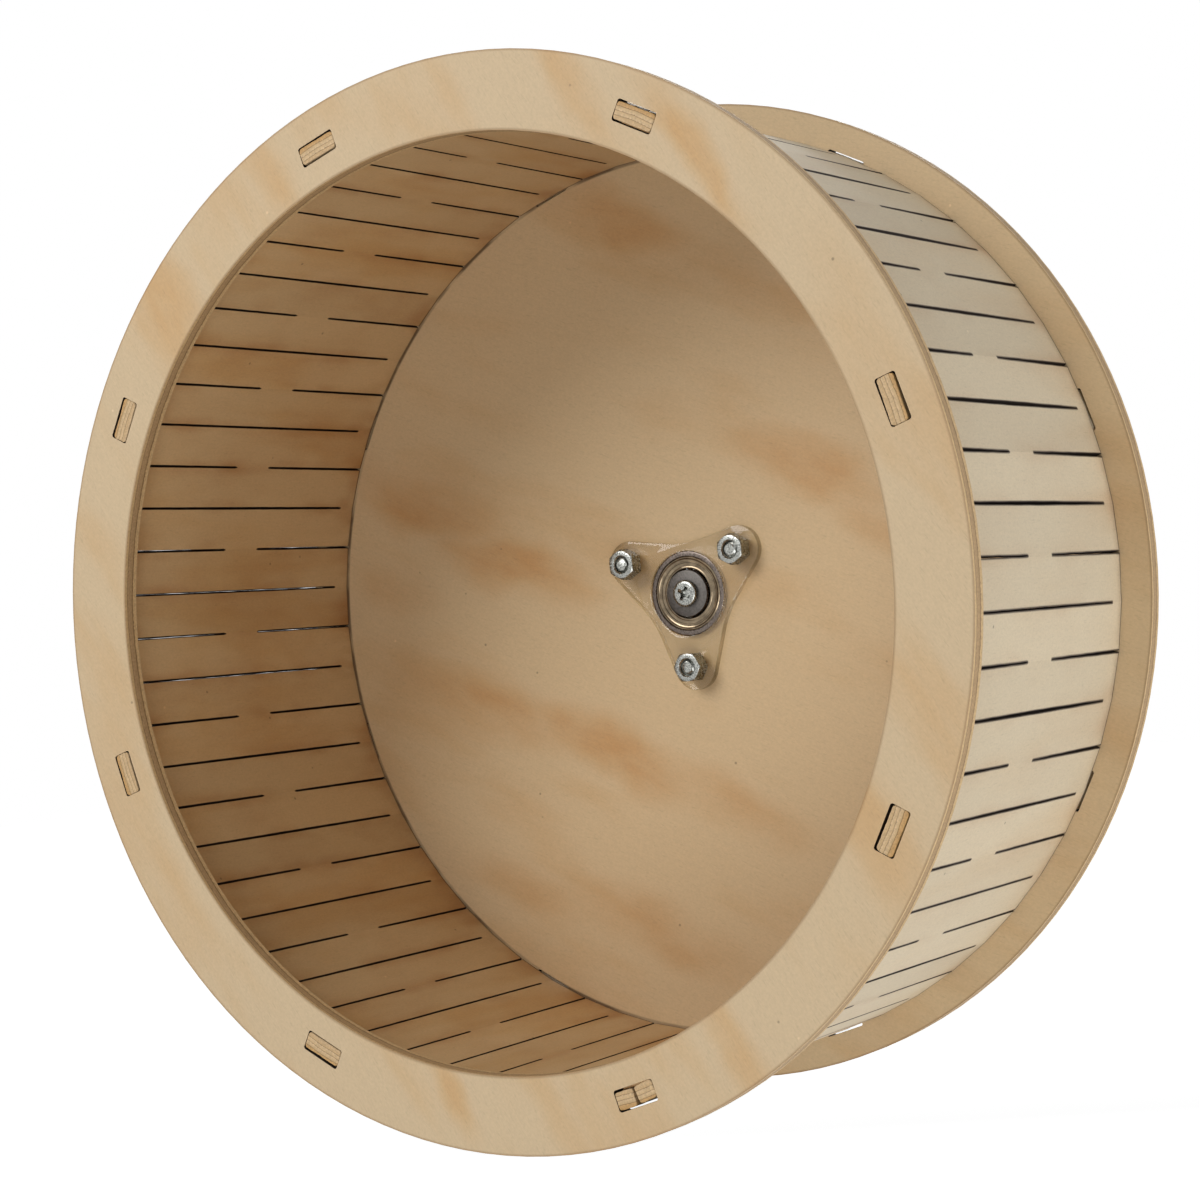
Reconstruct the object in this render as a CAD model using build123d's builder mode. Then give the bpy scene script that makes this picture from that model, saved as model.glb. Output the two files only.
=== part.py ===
from build123d import *
import math
import os

# Wooden running wheel for a hamster, millimetres, +Z up.
# The wheel turns about the Y axis and its open side faces -Y.
# The origin is on that axis, at the face that seats against the upright of a stand.

# Driving dimensions of the drum
wheel_diameter = 250.0
wheel_depth = 100.0
ply_thickness = 4.0
ring_width = 18.0
track_inset = 7.5

# Tenons of the running track, and the mortises that they pass through
tenon_count = 8
tenon_width = 10.6
tenon_side_clearance = 0.05
tenon_face_clearance = 0.37
mortise_corner = 0.6

# Rows of kerf slots that let the track bend
rows_per_tenon = 8
long_slot_margin = 5.5
short_slot_bridge = 12.7
slot_inner_width = 0.4
slot_outer_width = 0.9
seam_row = 48
seam_gap = 0.55

# Turn of the wheel at rest, counterclockwise as seen from the open side
rest_turn = 16.2

# Ball bearing, 8 x 22 x 7
bearing_outer_diameter = 22.0
bearing_bore = 8.0
bearing_width = 7.0
inner_land_diameter = 12.1
outer_land_diameter = 17.9
bearing_chamfer = 0.3
ball_diameter = 3.969
ball_count = 7
pitch_diameter = 15.0
groove_clearance = 0.075
shield_thickness = 0.3
shield_recess = 0.35
shield_diameter = 19.2
shield_gap = 0.25
cage_wall = 1.5
cage_end_gap = 0.25
cage_past_centre = 0.7
pocket_clearance = 0.08

# Clear plates that carry the bearing together with the disc, and the bolts through them
plate_thickness = 2.0
bolt_circle_radius = 19.0
bolt_count = 3
bolt_turn = 15.0
lobe_radius = 6.0
waist_radius = 12.5
waist_fillet = 25.0
bolt_diameter = 4.0
bolt_hole_clearance = 0.15
bolt_end_inset = 0.2
bolt_head_diameter = 8.0
bolt_head_height = 2.6
bolt_head_chamfer = 1.1
nut_width = 7.0
nut_height = 4.2
nut_countersink = 0.35
nut_corner_angle = 30.0
thread_clearance = 0.05

# Axle: a screw from the open side through washer, sleeve, spacer and lock nut
# Its rolled thread is left off, so the shank inside the stack is thinner than the free end
screw_diameter = 4.0
screw_shank_diameter = 3.5
screw_head_diameter = 7.0
screw_head_height = 2.3
screw_head_rim = 0.8
screw_free_length = 15.0
screw_tip_chamfer = 0.5
washer_diameter = 12.0
washer_thickness = 0.5
washer_bore_clearance = 0.15
spacer_diameter = 12.0
spacer_length = 5.0
sleeve_bore_clearance = 0.15
lock_nut_height = 3.2

# Stations along the axis, from the seat towards the open side
seat = 0.0
lock_nut_front = seat - lock_nut_height
bearing_rear = lock_nut_front - spacer_length
bearing_front = bearing_rear - bearing_width
bearing_middle = (bearing_front + bearing_rear) / 2
disc_front = bearing_middle - ply_thickness / 2
disc_rear = bearing_middle + ply_thickness / 2
front_plate_front = disc_front - plate_thickness
rear_plate_rear = disc_rear + plate_thickness
ring_front = disc_rear - wheel_depth
ring_rear = ring_front + ply_thickness

# Sizes that follow from the driving ones
wheel_radius = wheel_diameter / 2
ring_inner_radius = wheel_radius - ring_width
track_outer_radius = wheel_radius - track_inset
track_inner_radius = track_outer_radius - ply_thickness
track_middle_radius = (track_outer_radius + track_inner_radius) / 2
track_width = disc_front - ring_rear
row_count = tenon_count * rows_per_tenon
row_step = 360 / row_count
tenon_bend = tenon_width / 2 * math.tan(math.radians(row_step / 2))
mortise_height = ply_thickness + tenon_bend + 2 * tenon_face_clearance
bolt_hole_radius = bolt_diameter / 2 + bolt_hole_clearance
bolt_length = rear_plate_rear - front_plate_front + nut_height - bolt_end_inset
long_slot_length = track_width - 2 * long_slot_margin
short_slot_length = (track_width - short_slot_bridge) / 2

os.makedirs("parts", exist_ok=True)


def save(builder, name):
    """Label a finished piece and write it as its own file."""
    builder.part.label = name
    export_step(builder.part, f"parts/{name}.step")


def turned_plane(y, turn=rest_turn):
    """Upright plane across the axis at y, turned with the wheel, facing the open side."""
    angle = math.radians(turn)
    return Plane(origin=(0, y, 0), x_dir=(math.cos(angle), 0, math.sin(angle)), z_dir=(0, -1, 0))


def mortises():
    """Cut the round-cornered mortises of the tenons from the sketch in hand."""
    with PolarLocations(track_middle_radius - tenon_bend / 2, tenon_count):
        RectangleRounded(
            mortise_height,
            tenon_width + 2 * tenon_side_clearance,
            mortise_corner,
            mode=Mode.SUBTRACT,
        )


def bolt_holes():
    """Cut the three bolt holes of the hub from the sketch in hand."""
    with PolarLocations(bolt_circle_radius, bolt_count, start_angle=bolt_turn):
        Circle(bolt_hole_radius, mode=Mode.SUBTRACT)


# Front ring: a plywood annulus that stiffens the open side
with BuildPart() as front_ring:
    with BuildSketch(turned_plane(ring_rear)):
        Circle(wheel_radius)
        Circle(ring_inner_radius, mode=Mode.SUBTRACT)
        mortises()
    extrude(amount=ply_thickness)
save(front_ring, "front_ring")

# Back disc: closes the drum and carries the hub
with BuildPart() as back_disc:
    with BuildSketch(turned_plane(disc_rear)):
        Circle(wheel_radius)
        Circle(bearing_outer_diameter / 2, mode=Mode.SUBTRACT)
        mortises()
        bolt_holes()
    extrude(amount=ply_thickness)
save(back_disc, "back_disc")


def slot_profile():
    """Wedge section of one kerf slot, narrow inside and open outside, x along the radius."""
    reach = ply_thickness
    inner_half = slot_inner_width / 2 - (slot_outer_width - slot_inner_width) / 4
    outer_half = slot_outer_width / 2 + (slot_outer_width - slot_inner_width) / 4
    Polygon((-reach, -inner_half), (reach, -outer_half), (reach, outer_half), (-reach, inner_half))


# Running track: one plywood strip, bent to a drum of flats along its rows of slots
with BuildPart() as running_track:
    with BuildSketch(turned_plane(disc_front)):
        RegularPolygon(track_outer_radius, row_count)
        RegularPolygon(track_inner_radius, row_count, mode=Mode.SUBTRACT)
    extrude(amount=track_width)

    # Tenons at both edges, as thick as the strip
    for rear_face in (disc_rear, ring_rear):
        with BuildSketch(turned_plane(rear_face)):
            RegularPolygon(track_outer_radius, row_count)
            RegularPolygon(track_inner_radius, row_count, mode=Mode.SUBTRACT)
            with PolarLocations(track_middle_radius, tenon_count):
                Rectangle(3 * ply_thickness, tenon_width, mode=Mode.INTERSECT)
        extrude(amount=ply_thickness)

    # Long slots in line with the tenons, closed at both ends, all but the row of the seam
    with BuildSketch(turned_plane(disc_front - long_slot_margin)):
        with PolarLocations(
            track_middle_radius,
            row_count // 2 - 1,
            start_angle=(seam_row + 2) * row_step,
            angular_range=360 - 2 * row_step,
        ):
            slot_profile()
    extrude(amount=long_slot_length, mode=Mode.SUBTRACT)

    # Pairs of short slots between them, open at the edges and parted by a bridge
    for rear_end in (disc_front, ring_rear + short_slot_length):
        with BuildSketch(turned_plane(rear_end)):
            with PolarLocations(track_middle_radius, row_count // 2, start_angle=row_step):
                slot_profile()
        extrude(amount=short_slot_length, mode=Mode.SUBTRACT)

    # Seam where the two ends of the strip meet, through one pair of tenons
    with BuildSketch(turned_plane(disc_rear)):
        with PolarLocations(track_middle_radius, 1, start_angle=seam_row * row_step):
            Rectangle(3 * ply_thickness, seam_gap)
    extrude(amount=wheel_depth, mode=Mode.SUBTRACT)
save(running_track, "running_track")


def lobed_plate(rear_face):
    """Three-lobed hub plate with slightly hollow sides, bored for the bearing and the bolts."""
    half_step = math.radians(180 / bolt_count)
    waist = Vector(waist_radius * math.cos(half_step), waist_radius * math.sin(half_step))
    lobe = Vector(bolt_circle_radius, 0)
    reach = (lobe - waist).length
    to_lobe = math.atan2(lobe.Y - waist.Y, lobe.X - waist.X)
    heading = to_lobe + math.asin(lobe_radius / reach)
    run = math.sqrt(reach**2 - lobe_radius**2)
    touch = waist + Vector(run * math.cos(heading), run * math.sin(heading))
    with BuildPart() as plate:
        with BuildSketch(turned_plane(rear_face, rest_turn + bolt_turn)) as outline:
            with BuildSketch(mode=Mode.PRIVATE) as one_lobe:
                with BuildLine():
                    Polyline((0, 0), (waist.X, -waist.Y), (touch.X, -touch.Y))
                    ThreePointArc(
                        (touch.X, -touch.Y),
                        (bolt_circle_radius + lobe_radius, 0),
                        (touch.X, touch.Y),
                    )
                    Polyline((touch.X, touch.Y), (waist.X, waist.Y), (0, 0))
                make_face()
            with PolarLocations(0, bolt_count):
                add(one_lobe.sketch)
            inner_corners = outline.vertices().group_by(lambda v: round(Vector(v).length, 3))[0]
            fillet(inner_corners, waist_fillet)
            Circle(bearing_outer_diameter / 2, mode=Mode.SUBTRACT)
            with PolarLocations(bolt_circle_radius, bolt_count):
                Circle(bolt_hole_radius, mode=Mode.SUBTRACT)
        extrude(amount=plate_thickness)
    return plate


# Two clear plates, one on each face of the disc, so that the bearing fills all three bores
front_bearing_plate = lobed_plate(disc_front)
save(front_bearing_plate, "front_bearing_plate")
rear_bearing_plate = lobed_plate(rear_plate_rear)
save(rear_bearing_plate, "rear_bearing_plate")


def ring_profile(y_low, y_high, r_low, r_high):
    """Rectangle of a turned ring, x as radius and y along the axis."""
    with Locations(((r_low + r_high) / 2, (y_low + y_high) / 2)):
        Rectangle(r_high - r_low, y_high - y_low)


def groove():
    """Ball groove of a bearing ring, cut from the section in hand."""
    with Locations((pitch_diameter / 2, bearing_middle)):
        Circle(ball_diameter / 2 + groove_clearance, mode=Mode.SUBTRACT)


# Outer ring of the bearing, with a step at each face for its shield
with BuildPart() as bearing_outer_ring:
    with BuildSketch(Plane.XY):
        ring_profile(bearing_front, bearing_rear, outer_land_diameter / 2, bearing_outer_diameter / 2)
        outer_corners = edges().sort_by(Axis.X)[-1].vertices()
        chamfer(outer_corners, bearing_chamfer)
        groove()
        step_depth = shield_recess + shield_thickness
        for low, high in (
            (bearing_front, bearing_front + step_depth),
            (bearing_rear - step_depth, bearing_rear),
        ):
            with Locations(((outer_land_diameter + shield_diameter) / 4, (low + high) / 2)):
                Rectangle(
                    (shield_diameter - outer_land_diameter) / 2,
                    high - low,
                    mode=Mode.SUBTRACT,
                )
    revolve(axis=Axis.Y)
save(bearing_outer_ring, "bearing_outer_ring")

# Inner ring, which stands still on the axle
with BuildPart() as bearing_inner_ring:
    with BuildSketch(Plane.XY):
        ring_profile(bearing_front, bearing_rear, bearing_bore / 2, inner_land_diameter / 2)
        bore_corners = edges().sort_by(Axis.X)[0].vertices()
        chamfer(bore_corners, bearing_chamfer)
        groove()
    revolve(axis=Axis.Y)
save(bearing_inner_ring, "bearing_inner_ring")

# Metal shields, each seated on its step in the outer ring, clear of the inner ring
shield_inner_radius = inner_land_diameter / 2 + shield_gap
for name, front in (
    ("bearing_front_shield", bearing_front + shield_recess),
    ("bearing_rear_shield", bearing_rear - shield_recess - shield_thickness),
):
    with BuildPart() as shield:
        with BuildSketch(Plane.XY):
            ring_profile(front, front + shield_thickness, shield_inner_radius, shield_diameter / 2)
        revolve(axis=Axis.Y)
    save(shield, name)

# Crown cage: a ring behind the balls, drilled across for each and open towards the front
cage_rear = bearing_rear - shield_recess - shield_thickness - cage_end_gap
cage_front = bearing_middle - cage_past_centre
with BuildPart() as bearing_cage:
    with BuildSketch(Plane.XY):
        ring_profile(
            cage_front,
            cage_rear,
            (pitch_diameter - cage_wall) / 2,
            (pitch_diameter + cage_wall) / 2,
        )
    revolve(axis=Axis.Y)
    with Locations(turned_plane(bearing_middle)):
        with PolarLocations(pitch_diameter / 2, ball_count):
            Cylinder(
                ball_diameter / 2 + pocket_clearance,
                2 * cage_wall,
                rotation=(0, 90, 0),
                mode=Mode.SUBTRACT,
            )
save(bearing_cage, "bearing_cage")

# Balls
for index in range(ball_count):
    with BuildPart() as ball:
        with Locations(turned_plane(bearing_middle)):
            with PolarLocations(pitch_diameter / 2, 1, start_angle=index * 360 / ball_count):
                Sphere(ball_diameter / 2)
    save(ball, f"bearing_ball_{index + 1}")


def hex_nut(rear_face, place, height, core_diameter):
    """Hexagon nut with its corners turned down at the free face, bored and countersunk."""
    bore_radius = core_diameter / 2 + thread_clearance
    with BuildPart() as nut:
        with BuildSketch(rear_face):
            with Locations(place):
                RegularPolygon(nut_width / 2, 6, major_radius=False)
                Circle(bore_radius, mode=Mode.SUBTRACT)
        extrude(amount=height)
        with BuildSketch(rear_face.offset(height)):
            with Locations(place):
                Circle(nut_width / 2)
        extrude(amount=-height, taper=nut_corner_angle - 90, mode=Mode.INTERSECT)
        circles = nut.edges().filter_by(GeomType.CIRCLE)
        chamfer(circles.filter_by(lambda e: math.isclose(e.radius, bore_radius)), nut_countersink)
    return nut


# Bolts of the hub from the back, with their nuts inside the drum
for index in range(bolt_count):
    angle = math.radians(bolt_turn + index * 360 / bolt_count)
    place = (bolt_circle_radius * math.cos(angle), bolt_circle_radius * math.sin(angle))
    with BuildPart() as bolt:
        with BuildSketch(turned_plane(rear_plate_rear)):
            with Locations(place):
                Circle(bolt_diameter / 2)
        extrude(amount=bolt_length)
        with BuildSketch(turned_plane(rear_plate_rear)):
            with Locations(place):
                Circle(bolt_head_diameter / 2)
        extrude(amount=-bolt_head_height)
        rim = bolt.edges().filter_by(GeomType.CIRCLE).sort_by(Axis.Y)[-1]
        chamfer(rim, bolt_head_chamfer)
    save(bolt, f"hub_bolt_{index + 1}")
    nut = hex_nut(turned_plane(front_plate_front), place, nut_height, bolt_diameter)
    save(nut, f"hub_nut_{index + 1}")

# Axle screw: domed head on the washer, its free end past the seat for the stand
head_seat = bearing_front - washer_thickness
crown = head_seat - screw_head_height
head_rim = head_seat - screw_head_rim
head_radius = screw_head_diameter / 2
dome_radius = (head_radius**2 + (head_rim - crown) ** 2) / (2 * (head_rim - crown))
dome_middle = crown + dome_radius - math.sqrt(dome_radius**2 - head_radius**2 / 4)
with BuildPart() as axle_screw:
    with BuildSketch(Plane.XY):
        with BuildLine():
            Polyline(
                (0, crown),
                (0, screw_free_length),
                (screw_diameter / 2 - screw_tip_chamfer, screw_free_length),
                (screw_diameter / 2, screw_free_length - screw_tip_chamfer),
                (screw_diameter / 2, seat),
                (screw_shank_diameter / 2, seat),
                (screw_shank_diameter / 2, head_seat),
                (head_radius, head_seat),
                (head_radius, head_rim),
            )
            ThreePointArc((head_radius, head_rim), (head_radius / 2, dome_middle), (0, crown))
        make_face()
    revolve(axis=Axis.Y)
save(axle_screw, "axle_screw")

# Flat washer under the screw's head, resting on the inner ring
with BuildPart() as axle_washer:
    with BuildSketch(Plane.XY):
        ring_profile(
            head_seat,
            bearing_front,
            screw_diameter / 2 + washer_bore_clearance,
            washer_diameter / 2,
        )
    revolve(axis=Axis.Y)
save(axle_washer, "axle_washer")

# Sleeve that takes the bearing's bore down to the screw
with BuildPart() as axle_sleeve:
    with BuildSketch(Plane.XY):
        ring_profile(
            bearing_front,
            bearing_rear,
            screw_diameter / 2 + sleeve_bore_clearance,
            bearing_bore / 2,
        )
    revolve(axis=Axis.Y)
save(axle_sleeve, "axle_sleeve")

# Spacer that keeps the turning wheel clear of the stand
with BuildPart() as axle_spacer:
    with BuildSketch(Plane.XY):
        ring_profile(
            bearing_rear,
            lock_nut_front,
            screw_diameter / 2 + sleeve_bore_clearance,
            spacer_diameter / 2,
        )
    revolve(axis=Axis.Y)
save(axle_spacer, "axle_spacer")

# Lock nut that clamps the stack, its flat face the seat against the upright of a stand
axle_lock_nut = hex_nut(turned_plane(seat, 0.0), (0, 0), lock_nut_height, screw_shank_diameter)
save(axle_lock_nut, "axle_lock_nut")
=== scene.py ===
import math
import random
import bmesh
import bpy
from mathutils import Matrix, Vector


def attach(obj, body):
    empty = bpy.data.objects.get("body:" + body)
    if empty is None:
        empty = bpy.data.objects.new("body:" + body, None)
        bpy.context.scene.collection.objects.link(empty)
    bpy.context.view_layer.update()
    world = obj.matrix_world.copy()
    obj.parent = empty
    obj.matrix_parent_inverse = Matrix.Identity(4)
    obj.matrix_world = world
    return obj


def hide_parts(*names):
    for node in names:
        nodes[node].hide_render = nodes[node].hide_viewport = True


# Wooden running wheel for a hamster, in the CAD's frame: the axle runs along Y and the open side faces -Y.
# Sizes in the dictionaries are millimetres and degrees, the scene is in metres.

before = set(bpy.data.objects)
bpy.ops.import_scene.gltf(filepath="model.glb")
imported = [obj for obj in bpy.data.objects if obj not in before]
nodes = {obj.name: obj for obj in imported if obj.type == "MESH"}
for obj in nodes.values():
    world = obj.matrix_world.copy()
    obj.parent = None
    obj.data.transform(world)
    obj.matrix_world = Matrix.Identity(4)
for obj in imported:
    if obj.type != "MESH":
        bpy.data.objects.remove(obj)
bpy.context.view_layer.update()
scene = bpy.context.scene
mm = 0.001
print("frame loaded,", len(nodes), "nodes")


def hexColour(code):
    # sRGB hex to the linear colour that the nodes want
    def toLinear(value):
        return value / 12.92 if value <= 0.04045 else ((value + 0.055) / 1.055) ** 2.4
    return tuple(toLinear(int(code[i:i + 2], 16) / 255) for i in (0, 2, 4)) + (1.0,)


def nodeAdder(tree):
    # Gives the function that adds a node to a tree, sets it up and wires it. Its inputs come by name in a
    # dictionary, or in the order of the live sockets: a map range takes value, from low, from high, to low,
    # to high. A node stands for its first live output, and text in a colour socket is a hex code.
    def add(kind, inputs=(), stops=None, **settings):
        node = tree.nodes.new(kind if "Node" in kind else "ShaderNode" + kind)
        for name, value in settings.items():
            setattr(node, name, value)
        if stops:
            ramp = node.color_ramp
            ramp.elements.remove(ramp.elements[-1])
            ramp.elements[0].position, ramp.elements[0].color = stops[0][0], hexColour(stops[0][1])
            for position, code in stops[1:]:
                ramp.elements.new(position).color = hexColour(code)
        live = [socket for socket in node.inputs if socket.enabled]
        if isinstance(inputs, dict):
            inputs = [(next(s for s in live if s.name == name), value) for name, value in inputs.items()]
        else:
            inputs = list(zip(live, inputs))
        for socket, value in inputs:
            if isinstance(value, bpy.types.Node):
                value = next(s for s in value.outputs if s.enabled)
            if isinstance(value, bpy.types.NodeSocket):
                tree.links.new(value, socket)
            else:
                socket.default_value = hexColour(value) if socket.type == "RGBA" else value
        return node
    return add


smooth = {"interpolation_type": "SMOOTHSTEP"}


def emptyTree(owner):
    owner.use_nodes = True
    owner.node_tree.nodes.clear()
    return nodeAdder(owner.node_tree)


def fold(add, operation, *values):
    # Runs the values through maths nodes, from the left
    result, *others = values
    for value in others:
        result = add("Math", (result, value), operation=operation)
    return result


def newPiece(name, data):
    piece = bpy.data.objects.new(name, data)
    scene.collection.objects.link(piece)
    return piece


# Camera, at the place and turn found for the photograph
cameraSetup = {
    "place": (344.769, -579.493, -15.470),
    "azimuth": 33.389,
    "elevation": -1.376,
    "roll": -5.396,
    "lens": 76.96,
    "sensorWidth": 36.0,
}


def makeCamera(setup):
    azimuth, elevation, roll = (math.radians(setup[key]) for key in ("azimuth", "elevation", "roll"))
    back = Vector((
        math.sin(azimuth) * math.cos(elevation),
        -math.cos(azimuth) * math.cos(elevation),
        math.sin(elevation),
    ))
    level = Vector((math.cos(azimuth), math.sin(azimuth), 0))
    rise = back.cross(level)
    right = level * math.cos(roll) + rise * math.sin(roll)
    up = rise * math.cos(roll) - level * math.sin(roll)
    data = bpy.data.cameras.new("photoCamera")
    data.sensor_width = setup["sensorWidth"]
    data.lens = setup["lens"]
    data.clip_start = 0.02
    camera = newPiece("photoCamera", data)
    camera.matrix_world = Matrix.Translation(Vector(setup["place"]) * mm) @ (
        Matrix((right, up, back)).transposed().to_4x4()
    )
    scene.camera = camera


makeCamera(cameraSetup)
scene.view_settings.view_transform = "Standard"
print("camera placed")


# Studio: white room, a soft box over the open side and a weaker one at the right
studioSetup = {
    "floorHeight": -430,  # the wheel hangs on its axle, as it would on a stand
    "floorSize": 14000,
    "floorColour": "e9e9e9",
    "floorLift": (0.42, 0.88),  # added for the lens, near and far, so that the lit floor reads white
    "floorFade": (450, 2000),
    "roomColour": "ffffff",
    "roomLight": 0.24,
    "lamps": [
        {"name": "softBox", "place": (-330, -820, 520), "size": 560, "power": 5.3},
        {"name": "sideBox", "place": (1150, 40, -120), "size": 800, "power": 6.4},
        {"name": "backBox", "place": (-500, 1150, 420), "size": 800, "power": 7.5},
        {"name": "lowBox", "place": (320, -820, -290), "size": 400, "power": 1.9},
    ],
    "aim": (0, -60, 0),
}


def seenStraight(add):
    # One where the lens, a glossy face or a clear sheet looks at it, else zero
    path = add("LightPath").outputs
    return fold(add, "MAXIMUM", *(path[f"Is {kind} Ray"] for kind in ("Camera", "Glossy", "Transmission")))


def makeStudio(setup):
    for lamp in setup["lamps"]:
        data = bpy.data.lights.new(lamp["name"], "AREA")
        data.shape = "DISK"
        data.size = lamp["size"] * mm
        data.energy = lamp["power"]
        place = Vector(lamp["place"]) * mm
        light = newPiece(lamp["name"], data)
        light.location = place
        light.rotation_mode = "QUATERNION"
        light.rotation_quaternion = (Vector(setup["aim"]) * mm - place).to_track_quat("-Z", "Y")

    scene.world = bpy.data.worlds.new("whiteRoom")
    add = emptyTree(scene.world)
    lit = add("Background", (setup["roomColour"], setup["roomLight"]))
    white = add("Background", ("ffffff", 1.0))
    add("OutputWorld", {"Surface": add("MixShader", (seenStraight(add), lit, white))})

    # Matt white paper floor, with a lift that only the lens, gloss and clear plates see
    paper = bpy.data.materials.new("mattWhitePaper")
    add = emptyTree(paper)
    away = add("VectorMath", (add("TexCoord").outputs["Object"],), operation="LENGTH")
    near, far = (size * mm for size in setup["floorFade"])
    lift = add("MapRange", (away, near, far, *setup["floorLift"]))
    glow = add("Emission", ("ffffff", fold(add, "MULTIPLY", seenStraight(add), lift)))
    diffuse = add("BsdfDiffuse", (setup["floorColour"],))
    add("OutputMaterial", {"Surface": add("AddShader", (diffuse, glow))})
    half = setup["floorSize"] / 2 * mm
    height = setup["floorHeight"] * mm
    mesh = bpy.data.meshes.new("studioFloor")
    corners = [(x * half, y * half, height) for x, y in ((-1, -1), (1, -1), (1, 1), (-1, 1))]
    mesh.from_pydata(corners, [], [(0, 1, 2, 3)])
    mesh.materials.append(paper)
    floor = newPiece("studioFloor", mesh)


makeStudio(studioSetup)
print("studio built")


# Birch plywood, unsanded and laser cut: pale rotary-cut veneer with soft orange-tan clouds along its grain,
# short dark pores, a few pinholes, and layers that show at a cut edge with scorched glue lines.
ringPly = {
    "bent": False,
    "front": -109.7,
    "sheet": 4.0,
    "grainTurn": -58,
    "outerCloud": 1.0,
    "pale": ("c8b18f", "c8b18f"),
    "tan": "c4a47a",
    "stain": "c0945c",
    "rims": (125.0, 107.0),
    "stains": [
        (38, 114, 20, 6, 0.60), (69, 93, 26, 5, 0.75), (-84, 83, 20, 10, 0.85), (-51, 113, 24, 5, 0.60),
        (95, -52, 30, 11, 0.50), (108, -28, 26, 6, 0.40), (55, -96, 28, 6, 0.65), (-18, -112, 14, 4, 0.60),
        (-115, 27, 22, 6, 0.30), (103, 52, 22, 7, 0.25), (8, 112, 16, 5, 0.35), (-96, -62, 20, 6, 0.30),
    ],
    "layers": [
        (0.00, "cdb083"), (0.20, "c6a77b"), (0.24, "7d6445"), (0.29, "b0916a"), (0.62, "a78a63"),
        (0.68, "6f5639"), (0.74, "c2a376"), (1.00, "cbad80"),
    ],
}
discPly = {
    "bent": False,
    "front": -13.7,
    "sheet": 4.0,
    "grainTurn": -24,
    "outerCloud": 0.8,
    "pale": ("d0b68f", "d0b68f"),
    "tan": "c9a77a",
    "stain": "bb8648",
    "rims": (125.0,),
    "joint": 113.2,  # the strip's scorched edge leaves a dark line here
    "stains": [
        (-82, 32, 30, 10, 0.75), (-56, 12, 30, 9, 0.80), (-96, 10, 16, 8, 0.60), (-66, -26, 38, 9, 0.60),
        (-26, -40, 40, 9, 0.85), (6, -56, 30, 7, 0.55), (38, 28, 26, 9, 0.80), (58, 12, 22, 7, 0.45),
        (-13, 99, 30, 8, 0.60), (22, 78, 30, 8, 0.30), (-19, -87, 36, 9, 0.55), (-60, -75, 26, 7, 0.40),
        (70, -30, 34, 8, 0.20),
    ],
    "layers": ringPly["layers"],
}
trackPly = {
    "bent": True,
    "front": -105.7,
    "rear": -13.7,
    "sheet": 4.0,
    "innerRadius": 113.5,
    "outerRadius": 117.5,
    "rows": 64,
    "outerCloud": 0.3,  # the outer veneer is the calmer one
    "cutTurn": 106.2,  # turns the unrolled sheet's cut to the seam
    # inner face darker and warmer as painted shade inside the drum, outer face paler and greyer as painted
    # light
    "pale": ("c9ab80", "d0c0a4"),
    "tan": "be9560",
    "stain": "9c642c",
    "rims": (),
    "stains": [],
    "layers": [
        (0.00, "c6a880"), (0.22, "c2a378"), (0.25, "80623f"), (0.28, "ccb089"), (0.48, "c6a87e"),
        (0.51, "8c6e4a"), (0.54, "ccb08a"), (0.74, "c4a67a"), (0.77, "755838"), (0.80, "c09a68"),
        (1.00, "ba925c"),
    ],
}
plyPatterns = {  # length along the grain, width across it, fineness
    "cloud": (75, 22, 3.0),
    "shade": (26, 11, 2.0),
    "fibre": (7, 0.6, 4.0),
    "pore": (2.0, 0.3, 1.0),
    "grit": (0.7, 0.5, 2.0),
}
plyMarks = {  # what the laser and the glue leave
    "wall": "1a0f07",
    # lip colour: laser scorch at the slot lips, and also painted shade of the slot's gap
    "lip": "28180c",
    "rimLine": "8b6a45",
    "jointLine": "4e3520",
}
plySpecks = [  # spacing of the specks, then from, to, and the shade at both ends: pinholes and pale chips
    (13, 0.016, 0.034, 0.55, 1.0),
    (17, 0.014, 0.026, 1.22, 1.0),
]


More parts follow.
